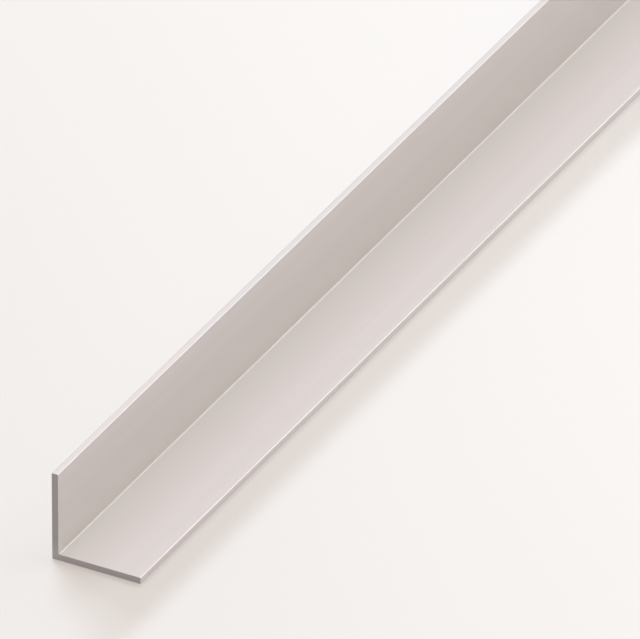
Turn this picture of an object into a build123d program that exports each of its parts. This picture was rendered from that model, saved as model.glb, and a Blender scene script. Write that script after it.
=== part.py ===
from build123d import *

import os

# Equal-leg aluminium angle, one straight length of extruded stock.
# It lies on its flat leg: +Z is up, the length runs along Y, the upright leg stands on the -X side
# and the flat leg reaches towards +X. The origin is under the middle of the width and the length.

# Driving dimensions, millimetres
leg = 40.0  # outside width of each leg, heel to toe
wall = 3.0  # both legs have the same thickness
length = 1000.0  # one sold length, sawn square at both ends
root_radius = 0.7  # fillet in the inner corner
toe_radius = 0.5  # eased arrises along both toes
heel_radius = 0.3  # the outer corner is almost sharp
saw_break = 0.1  # burr taken off round each sawn end

# The section is drawn square across the length, from the heel at the local origin.
section_plane = Plane(origin=(-leg / 2, 0, 0), x_dir=(1, 0, 0), z_dir=(0, -1, 0))

with BuildPart() as angle_section:
    with BuildSketch(section_plane) as profile:
        with BuildLine():
            Polyline(
                (0, 0),
                (leg, 0),
                (leg, wall),
                (wall, wall),
                (wall, leg),
                (0, leg),
                close=True,
            )
        make_face()
        toe_corners = profile.vertices().group_by(Axis.X)[-1] + profile.vertices().group_by(Axis.Y)[-1]
        fillet(toe_corners, radius=toe_radius)
        fillet(profile.vertices().sort_by_distance((0, 0))[0], radius=heel_radius)
        fillet(profile.vertices().sort_by_distance((wall, wall))[0], radius=root_radius)
    extrude(amount=length / 2, both=True)
    sawn_ends = angle_section.faces().filter_by(Axis.Y)
    chamfer(sawn_ends.edges(), length=saw_break)

angle_section.part.label = "angle_section"

os.makedirs("parts", exist_ok=True)
export_step(angle_section.part, "parts/angle_section.step")

print("volume, mm3:", round(angle_section.part.volume))
print("box, mm:", angle_section.part.bounding_box())
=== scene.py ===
import math

import bmesh
import bpy
from mathutils import Matrix, Vector


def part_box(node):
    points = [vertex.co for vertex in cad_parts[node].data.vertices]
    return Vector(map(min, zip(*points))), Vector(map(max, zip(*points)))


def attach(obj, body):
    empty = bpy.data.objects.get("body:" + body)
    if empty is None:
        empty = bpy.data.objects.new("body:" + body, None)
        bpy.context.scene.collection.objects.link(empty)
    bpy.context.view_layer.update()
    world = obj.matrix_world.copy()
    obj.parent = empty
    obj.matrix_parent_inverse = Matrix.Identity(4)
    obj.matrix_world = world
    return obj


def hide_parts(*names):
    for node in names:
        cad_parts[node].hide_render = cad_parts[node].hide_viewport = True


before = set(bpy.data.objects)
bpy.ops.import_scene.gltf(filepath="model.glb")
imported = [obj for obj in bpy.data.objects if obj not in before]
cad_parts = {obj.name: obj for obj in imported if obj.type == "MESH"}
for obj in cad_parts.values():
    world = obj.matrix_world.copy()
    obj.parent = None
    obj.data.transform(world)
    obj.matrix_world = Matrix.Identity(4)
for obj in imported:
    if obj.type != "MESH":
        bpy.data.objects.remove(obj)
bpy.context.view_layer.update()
print("frame loaded:", list(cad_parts))

near = 1e-6  # metres between points that count as one place
squareOn = 0.99  # how far a face's normal runs along the bar before it counts as an end
straight = 0.01  # radians; a corner that turns less than this is no corner

# wall and rounds in metres; the bar's place and outer size come from the frame
bar = {
    "node": "angle_section",
    "wall": 0.003,
    "rootRadius": 0.0007,  # fillet in the inner corner
    "toeRadius": 0.0005,  # both arrises of each toe
    "heelRadius": 0.0003,  # outer corner, almost sharp
    "sawBreak": 0.0001,  # burr taken off round the sawn ends
    "rootSteps": 10,
    "toeSteps": 6,
    "heelSteps": 5,
    "breakSteps": 2,
    "lengths": 40,  # the long faces are cut into this many
    "sharpAngle": math.radians(40),  # edges that turn more than this stay crisp
}


def longEdgesAt(bm, x, z):
    # the edges along the length that run through one corner of the section
    return [e for e in bm.edges if all(abs(v.co.x - x) < near and abs(v.co.z - z) < near for v in e.verts)]


def vertsIn(geometry):
    # an operator gives back corners, edges and faces together
    return [g for g in geometry if isinstance(g, bmesh.types.BMVert)]


def roundOff(bm, edges, radius, steps):
    bmesh.ops.bevel(
        bm,
        geom=edges,
        offset=radius,
        offset_type="OFFSET",
        affect="EDGES",
        segments=steps,
        profile=0.5,
        material=-1,
        clamp_overlap=False,
    )


def makeBar(settings):
    low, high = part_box(settings["node"])
    wall, leg = settings["wall"], high.x - low.x
    bm = bmesh.new()

    # the heel square of the section, then a leg drawn out of two of its sides
    bmesh.ops.create_grid(bm, x_segments=1, y_segments=1, size=wall / 2)
    bmesh.ops.rotate(bm, verts=bm.verts, cent=(0, 0, 0), matrix=Matrix.Rotation(math.radians(90), 3, "X"))
    bmesh.ops.translate(bm, verts=bm.verts, vec=(low.x + wall / 2, low.y, low.z + wall / 2))
    sides = [
        (axis, [e for e in bm.edges if all(abs(v.co[axis] - low[axis] - wall) < near for v in e.verts)])
        for axis in (0, 2)
    ]
    for axis, side in sides:
        grown = bmesh.ops.extrude_edge_only(bm, edges=side)["geom"]
        reach = Vector((0, 0, 0))
        reach[axis] = leg - wall
        bmesh.ops.translate(bm, verts=vertsIn(grown), vec=reach)
    shared = [e for e in bm.edges if len(e.link_faces) == 2]
    bmesh.ops.dissolve_edges(bm, edges=shared, use_verts=False)
    bmesh.ops.dissolve_verts(bm, verts=[v for v in bm.verts if v.calc_edge_angle() < straight])

    # the section drawn out to the full length
    pulled = bmesh.ops.extrude_face_region(bm, geom=bm.faces[:], use_keep_orig=True)["geom"]
    bmesh.ops.translate(bm, verts=vertsIn(pulled), vec=(0, high.y - low.y, 0))
    bmesh.ops.recalc_face_normals(bm, faces=bm.faces)

    inner = (low.x + wall, low.z + wall)
    toes = ((high.x, low.z), (high.x, low.z + wall), (low.x, high.z), (low.x + wall, high.z))
    roundOff(bm, longEdgesAt(bm, *inner), settings["rootRadius"], settings["rootSteps"])
    for corner in toes:
        roundOff(bm, longEdgesAt(bm, *corner), settings["toeRadius"], settings["toeSteps"])
    roundOff(bm, longEdgesAt(bm, low.x, low.z), settings["heelRadius"], settings["heelSteps"])

    # the burr broken off round both ends, and the ends marked as sawn metal
    ends = [f for f in bm.faces if abs(f.normal.y) > squareOn]
    rims = list({e for f in ends for e in f.edges})
    roundOff(bm, rims, settings["sawBreak"], settings["breakSteps"])
    for face in bm.faces:
        face.material_index = 1 if abs(face.normal.y) > squareOn else 0

    # cuts across the length keep the long faces from being needles
    step = (high.y - low.y) / settings["lengths"]
    for cut in range(1, settings["lengths"]):
        everything = bm.verts[:] + bm.edges[:] + bm.faces[:]
        place = (0, low.y + cut * step, 0)
        halved = bmesh.ops.bisect_plane(
            bm, geom=everything, dist=near / 10, plane_co=place, plane_no=(0, 1, 0)
        )
        for v in vertsIn(halved["geom_cut"]):
            v.co.y = place[1]  # set outright, so that every run gives the same points

    for face in bm.faces:
        face.smooth = True
    mesh = bpy.data.meshes.new("angle_bar")
    bm.to_mesh(mesh)
    bm.free()
    mesh.set_sharp_from_angle(angle=settings["sharpAngle"])
    piece = bpy.data.objects.new("angle_bar", mesh)
    bpy.context.scene.collection.objects.link(piece)
    flatShading = piece.modifiers.new("even_normals", "WEIGHTED_NORMAL")
    flatShading.mode = "FACE_AREA"
    flatShading.weight = 100
    flatShading.keep_sharp = True
    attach(piece, "root")
    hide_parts(settings["node"])
    return piece


extruded = {
    "paleColour": (0.788, 0.751, 0.737),
    "deepColour": (0.772, 0.735, 0.719),
    "roughLow": 0.62,
    "roughHigh": 0.68,
    "streakScale": (900.0, 2.2, 900.0),  # fine across the bar, long along it
    "streakGrain": (3.0, 0.6),  # the noise's detail and roughness, here and below
    "streakShare": 0.35,  # how much the fine lines add to the broad bands
    "bandScale": (160.0, 0.9, 160.0),
    "bandGrain": (2.0, 0.5),
    "toneRange": (0.5, 0.85),  # where the pattern runs from the deep tone to the pale one
    "reliefDepth": 0.00002,
    "toeHighlightColours": {"X": (0.845, 0.818, 0.826), "Z": (0.802, 0.773, 0.757)},  # painted highlight along the flat leg's toe and along the upright's top edge
    "toeRoughness": 0.55,
    "toeReach": 0.0005,  # how far in from the tip of each leg
    # painted light: the metal is paler near the inner corner, lifting the shade that gathers there
    "rootPaintedLightColour": (0.804, 0.777, 0.752),
    "rootReach": (0.0060, 0.0200),  # full up to the first distance from the inner corner, gone by the second
}

sawn = {
    # the ends are much darker than the rest of the metal: partly their sawn finish, partly painted shade for
    # faces turned from the light
    "colour": (0.401, 0.384, 0.385),
    "darkColour": (0.362, 0.345, 0.346),
    "paintedLowLightColour": (0.492, 0.467, 0.477),  # painted light: brighter low down by the floor, lifting the shade there
    "paintedLowLightReach": (0.003, 0.009),  # metres above the floor, full and gone
    "paintedLowLightShare": 0.5,
    "roughness": 0.70,
    "kerfScale": 700.0,
    "kerfTurn": math.radians(24),
    "kerfWaver": 2.0,
    "kerfDetail": 2.0,
    "reliefDepth": 0.00003,
}


def newMaterial(name):
    made = bpy.data.materials.new(name)
    made.use_nodes = True
    tree = made.node_tree
    tree.nodes.clear()
    out = tree.nodes.new("ShaderNodeOutputMaterial")
    skin = tree.nodes.new("ShaderNodeBsdfPrincipled")
    tree.links.new(skin.outputs["BSDF"], out.inputs["Surface"])
    return made, tree, skin


def stretchedNoise(tree, place, scale, detail, roughness):
    mapping = tree.nodes.new("ShaderNodeMapping")
    mapping.inputs["Scale"].default_value = scale
    tree.links.new(place, mapping.inputs["Vector"])
    noise = tree.nodes.new("ShaderNodeTexNoise")
    noise.inputs["Scale"].default_value = 1.0
    noise.inputs["Detail"].default_value = detail
    noise.inputs["Roughness"].default_value = roughness
    tree.links.new(mapping.outputs["Vector"], noise.inputs["Vector"])
    return noise.outputs["Fac"]


def spread(tree, value, low, high, fromLow, fromHigh):
    # low where the value is at fromLow, high where it is at fromHigh
    reach = tree.nodes.new("ShaderNodeMapRange")
    reach.inputs["From Min"].default_value = fromLow
    reach.inputs["From Max"].default_value = fromHigh
    reach.inputs["To Min"].default_value = low
    reach.inputs["To Max"].default_value = high
    tree.links.new(value, reach.inputs["Value"])
    return reach.outputs["Result"]


def mixColour(tree, share, first, second):
    # first may be a colour or what another node gives
    mix = tree.nodes.new("ShaderNodeMix")
    mix.data_type = "RGBA"
    if isinstance(first, tuple):
        mix.inputs["A"].default_value = (*first, 1)
    else:
        tree.links.new(first, mix.inputs["A"])
    mix.inputs["B"].default_value = (*second, 1)
    tree.links.new(share, mix.inputs["Factor"])
    return mix.outputs["Result"]


def addValues(tree, first, second, share):
    # first + share * second
    sumNode = tree.nodes.new("ShaderNodeMath")
    sumNode.operation = "MULTIPLY_ADD"
    tree.links.new(second, sumNode.inputs[0])
    sumNode.inputs[1].default_value = share
    tree.links.new(first, sumNode.inputs[2])
    return sumNode.outputs["Value"]


def reliefFrom(tree, height, depth, skin):
    bump = tree.nodes.new("ShaderNodeBump")
    bump.inputs["Strength"].default_value = 1.0
    bump.inputs["Distance"].default_value = depth
    tree.links.new(height, bump.inputs["Height"])
    tree.links.new(bump.outputs["Normal"], skin.inputs["Normal"])


def toeMasks(tree, place, node, reach):
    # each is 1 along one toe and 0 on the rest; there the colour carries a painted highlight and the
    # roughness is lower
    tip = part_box(node)[1]
    parts = tree.nodes.new("ShaderNodeSeparateXYZ")
    tree.links.new(place, parts.inputs["Vector"])
    return {
        axis: spread(tree, parts.outputs[axis], 0.0, 1.0, end - reach, end - reach / 2)
        for axis, end in (("X", tip.x), ("Z", tip.z))
    }


def rootDistance(tree, place, node, wall):
    # how far a point is from the line where the inner faces meet
    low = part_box(node)[0]
    centred = tree.nodes.new("ShaderNodeMapping")
    centred.inputs["Location"].default_value = (-low.x - wall, 0, -low.z - wall)
    centred.inputs["Scale"].default_value = (1, 0, 1)
    tree.links.new(place, centred.inputs["Vector"])
    away = tree.nodes.new("ShaderNodeVectorMath")
    away.operation = "LENGTH"
    tree.links.new(centred.outputs["Vector"], away.inputs[0])
    return away.outputs["Value"]


def makeExtrudedFinish(settings):
    made, tree, skin = newMaterial("extruded_aluminium")
    place = tree.nodes.new("ShaderNodeTexCoord").outputs["Object"]
    toes = toeMasks(tree, place, bar["node"], settings["toeReach"])
    away = rootDistance(tree, place, bar["node"], bar["wall"])
    fine = stretchedNoise(tree, place, settings["streakScale"], *settings["streakGrain"])
    broad = stretchedNoise(tree, place, settings["bandScale"], *settings["bandGrain"])
    both = addValues(tree, broad, fine, settings["streakShare"])
    tone = spread(tree, both, 0.0, 1.0, *settings["toneRange"])
    colour = mixColour(tree, tone, settings["deepColour"], settings["paleColour"])
    # painted light near the inner corner
    paintedRootLight = spread(tree, away, 1.0, 0.0, *settings["rootReach"])
    colour = mixColour(tree, paintedRootLight, colour, settings["rootPaintedLightColour"])
    dull = spread(tree, both, settings["roughHigh"], settings["roughLow"], *settings["toneRange"])
    for axis, toe in toes.items():
        # painted highlight: each toe gets a paler colour, and a smoother finish
        colour = mixColour(tree, toe, colour, settings["toeHighlightColours"][axis])
        smoother = tree.nodes.new("ShaderNodeMix")
        tree.links.new(toe, smoother.inputs["Factor"])
        tree.links.new(dull, smoother.inputs["A"])
        smoother.inputs["B"].default_value = settings["toeRoughness"]
        dull = smoother.outputs["Result"]
    tree.links.new(colour, skin.inputs["Base Color"])
    tree.links.new(dull, skin.inputs["Roughness"])
    skin.inputs["Metallic"].default_value = 1.0
    reliefFrom(tree, fine, settings["reliefDepth"], skin)
    return made


def makeSawnFinish(settings):
    made, tree, skin = newMaterial("sawn_and_shaded_aluminium")
    place = tree.nodes.new("ShaderNodeTexCoord").outputs["Object"]
    turned = tree.nodes.new("ShaderNodeMapping")
    turned.inputs["Rotation"].default_value = (0, settings["kerfTurn"], 0)
    tree.links.new(place, turned.inputs["Vector"])
    kerf = tree.nodes.new("ShaderNodeTexWave")
    kerf.wave_type = "BANDS"
    kerf.bands_direction = "Z"
    kerf.inputs["Scale"].default_value = settings["kerfScale"]
    kerf.inputs["Distortion"].default_value = settings["kerfWaver"]
    kerf.inputs["Detail"].default_value = settings["kerfDetail"]
    tree.links.new(turned.outputs["Vector"], kerf.inputs["Vector"])
    colour = mixColour(tree, kerf.outputs["Fac"], settings["darkColour"], settings["colour"])
    parts = tree.nodes.new("ShaderNodeSeparateXYZ")
    tree.links.new(place, parts.inputs["Vector"])
    # painted light on the lowest part of each end
    low = spread(tree, parts.outputs["Z"], settings["paintedLowLightShare"], 0.0, *settings["paintedLowLightReach"])
    tree.links.new(mixColour(tree, low, colour, settings["paintedLowLightColour"]), skin.inputs["Base Color"])
    skin.inputs["Metallic"].default_value = 1.0
    skin.inputs["Roughness"].default_value = settings["roughness"]
    reliefFrom(tree, kerf.outputs["Fac"], settings["reliefDepth"], skin)
    return made


studioFloor = {
    "halfWidth": 30.0,
    # the ramp from the warm colour to the pale one is painted light: the floor is shaded towards one side
    # and lit towards the other
    "warmColour": (0.726, 0.667, 0.626),
    "paleColour": (0.797, 0.745, 0.708),
    "rampStart": (-0.17, -0.45),  # where the floor is darkest, x and y
    "rampEnd": (0.10, -0.12),  # where it is palest
    "plainShare": 0.5,  # share of the paper that shows unshaded, so shadows stay soft by the bar
}

# turns are measured from +X towards +Y, lifts upwards from the floor
studioLight = {
    "fill": (0.244, 0.201, 0.200),  # the same from all sides
    "glows": [
        {"colour": (0.40, 0.42, 0.33), "turn": 0.0, "lift": 90.0, "tightness": 2.0},  # ceiling
        {"colour": (1.79, 1.80, 1.92), "turn": 75.0, "lift": 45.0, "tightness": 6.0},  # wide screen behind
        {"colour": (0.71, 0.80, 0.92), "turn": 180.0, "lift": 20.0, "tightness": 4.0},  # card at the left
        {"colour": (3.00, 3.00, 3.00), "turn": 270.0, "lift": 5.0, "tightness": 12.0},  # low card in front
    ],
    "lampColour": (0.691, 0.865, 1.0),
    "lamps": [  # a wide one behind, then a strip along the bar that throws its top edge to one line
        {"name": "lamp_behind", "strength": 0.800, "turn": 119.7, "lift": 41.2, "width": 14.0},
        {"name": "strip_1", "strength": 0.611, "turn": 126.0, "lift": 25.2, "width": 5.0},
        {"name": "strip_2", "strength": 0.899, "turn": 132.0, "lift": 27.8, "width": 5.0},
        {"name": "strip_3", "strength": 0.718, "turn": 138.0, "lift": 30.1, "width": 5.0},
        {"name": "strip_4", "strength": 0.530, "turn": 144.0, "lift": 31.9, "width": 5.0},
        {"name": "strip_5", "strength": 0.455, "turn": 150.0, "lift": 33.3, "width": 5.0},
        {"name": "strip_6", "strength": 0.371, "turn": 156.0, "lift": 34.4, "width": 5.0},
    ],
}

camera = {
    "lens": 1250.0,  # so long that the bar's edges stay all but parallel
    "sensor": 36.0,
    "turn": -61.659,
    "lift": 31.72,
    "distance": 8.9403,
    "aim": (-0.01213, -0.29146, 0.0),
}


def showPlain(tree, skin, colour, share):
    # blends the lit surface with its bare colour, for the camera and for what the metal mirrors
    rays = tree.nodes.new("ShaderNodeLightPath")
    seen = rays.outputs["Is Camera Ray"]
    for kind in ("Is Glossy Ray", "Is Transmission Ray"):
        either = tree.nodes.new("ShaderNodeMath")
        either.operation = "MAXIMUM"
        tree.links.new(seen, either.inputs[0])
        tree.links.new(rays.outputs[kind], either.inputs[1])
        seen = either.outputs["Value"]
    part = tree.nodes.new("ShaderNodeMath")
    part.operation = "MULTIPLY"
    tree.links.new(seen, part.inputs[0])
    part.inputs[1].default_value = share
    plain = tree.nodes.new("ShaderNodeEmission")
    tree.links.new(colour, plain.inputs["Color"])
    blend = tree.nodes.new("ShaderNodeMixShader")
    tree.links.new(part.outputs["Value"], blend.inputs[0])
    tree.links.new(skin.outputs["BSDF"], blend.inputs[1])
    tree.links.new(plain.outputs["Emission"], blend.inputs[2])
    out = next(node for node in tree.nodes if node.bl_idname == "ShaderNodeOutputMaterial")
    tree.links.new(blend.outputs["Shader"], out.inputs["Surface"])


def makeFloor(settings):
    bm = bmesh.new()
    bmesh.ops.create_grid(bm, x_segments=1, y_segments=1, size=settings["halfWidth"])
    mesh = bpy.data.meshes.new("studio_floor")
    bm.to_mesh(mesh)
    bm.free()
    floor = bpy.data.objects.new("studio_floor", mesh)
    bpy.context.scene.collection.objects.link(floor)

    made, tree, skin = newMaterial("studio_paper")
    place = tree.nodes.new("ShaderNodeTexCoord").outputs["Object"]
    start, end = Vector(settings["rampStart"]), Vector(settings["rampEnd"])
    along = (end - start) / (end - start).length_squared
    dot = tree.nodes.new("ShaderNodeVectorMath")
    dot.operation = "DOT_PRODUCT"
    dot.inputs[1].default_value = (along.x, along.y, 0)
    tree.links.new(place, dot.inputs[0])
    tone = tree.nodes.new("ShaderNodeMapRange")
    tone.interpolation_type = "SMOOTHSTEP"
    tone.inputs["From Min"].default_value = along.dot(start)
    tone.inputs["From Max"].default_value = along.dot(start) + 1
    tree.links.new(dot.outputs["Value"], tone.inputs["Value"])
    colour = mixColour(tree, tone.outputs["Result"], settings["warmColour"], settings["paleColour"])
    tree.links.new(colour, skin.inputs["Base Color"])
    skin.inputs["Roughness"].default_value = 1.0
    skin.inputs["Specular IOR Level"].default_value = 0.0
    showPlain(tree, skin, colour, settings["plainShare"])
    mesh.materials.append(made)


def heading(turn, lift):
    turn, lift = math.radians(turn), math.radians(lift)
    return Vector((math.cos(turn) * math.cos(lift), math.sin(turn) * math.cos(lift), math.sin(lift)))


def addGlow(tree, glow, place, lightSoFar):
    # a soft round patch of light, brightest where it is centred
    facing = tree.nodes.new("ShaderNodeVectorMath")
    facing.operation = "DOT_PRODUCT"
    facing.inputs[1].default_value = heading(glow["turn"], glow["lift"])
    tree.links.new(place, facing.inputs[0])
    front = tree.nodes.new("ShaderNodeMath")
    front.operation = "MAXIMUM"
    tree.links.new(facing.outputs["Value"], front.inputs[0])
    front.inputs[1].default_value = 0.0
    fade = tree.nodes.new("ShaderNodeMath")
    fade.operation = "POWER"
    tree.links.new(front.outputs["Value"], fade.inputs[0])
    fade.inputs[1].default_value = glow["tightness"]
    light = tree.nodes.new("ShaderNodeBackground")
    light.inputs["Color"].default_value = (*glow["colour"], 1)
    tree.links.new(fade.outputs["Value"], light.inputs["Strength"])
    both = tree.nodes.new("ShaderNodeAddShader")
    tree.links.new(lightSoFar, both.inputs[0])
    tree.links.new(light.outputs["Background"], both.inputs[1])
    return both.outputs["Shader"]


def makeLight(settings):
    world = bpy.data.worlds.new("studio_dome")
    world.use_nodes = True
    tree = world.node_tree
    tree.nodes.clear()
    fill = tree.nodes.new("ShaderNodeBackground")
    fill.inputs["Color"].default_value = (*settings["fill"], 1)
    light = fill.outputs["Background"]
    place = tree.nodes.new("ShaderNodeTexCoord").outputs["Generated"]
    for glow in settings["glows"]:
        light = addGlow(tree, glow, place, light)
    out = tree.nodes.new("ShaderNodeOutputWorld")
    tree.links.new(light, out.inputs["Surface"])
    bpy.context.scene.world = world

    for lamp in settings["lamps"]:
        sun = bpy.data.lights.new(lamp["name"], "SUN")
        sun.color = settings["lampColour"]
        sun.energy = lamp["strength"]
        sun.angle = math.radians(lamp["width"])
        holder = bpy.data.objects.new(lamp["name"], sun)
        holder.rotation_mode = "QUATERNION"
        holder.rotation_quaternion = heading(lamp["turn"], lamp["lift"]).to_track_quat("Z", "Y")
        holder.visible_glossy = False  # it lights the floor and leaves no hot line on the metal
        bpy.context.scene.collection.objects.link(holder)


def makeCamera(settings):
    data = bpy.data.cameras.new("view_camera")
    data.lens = settings["lens"]
    data.sensor_width = settings["sensor"]
    holder = bpy.data.objects.new("view_camera", data)
    back = heading(settings["turn"], settings["lift"])
    holder.location = Vector(settings["aim"]) + back * settings["distance"]
    holder.rotation_mode = "QUATERNION"
    holder.rotation_quaternion = back.to_track_quat("Z", "Y")
    bpy.context.scene.collection.objects.link(holder)
    bpy.context.scene.camera = holder


barPiece = makeBar(bar)
barPiece.data.materials.append(makeExtrudedFinish(extruded))
barPiece.data.materials.append(makeSawnFinish(sawn))
print("bar made:", len(barPiece.data.polygons), "faces")

makeFloor(studioFloor)
makeLight(studioLight)
makeCamera(camera)
bpy.context.scene.view_settings.view_transform = "Standard"
print("floor, light and camera set")
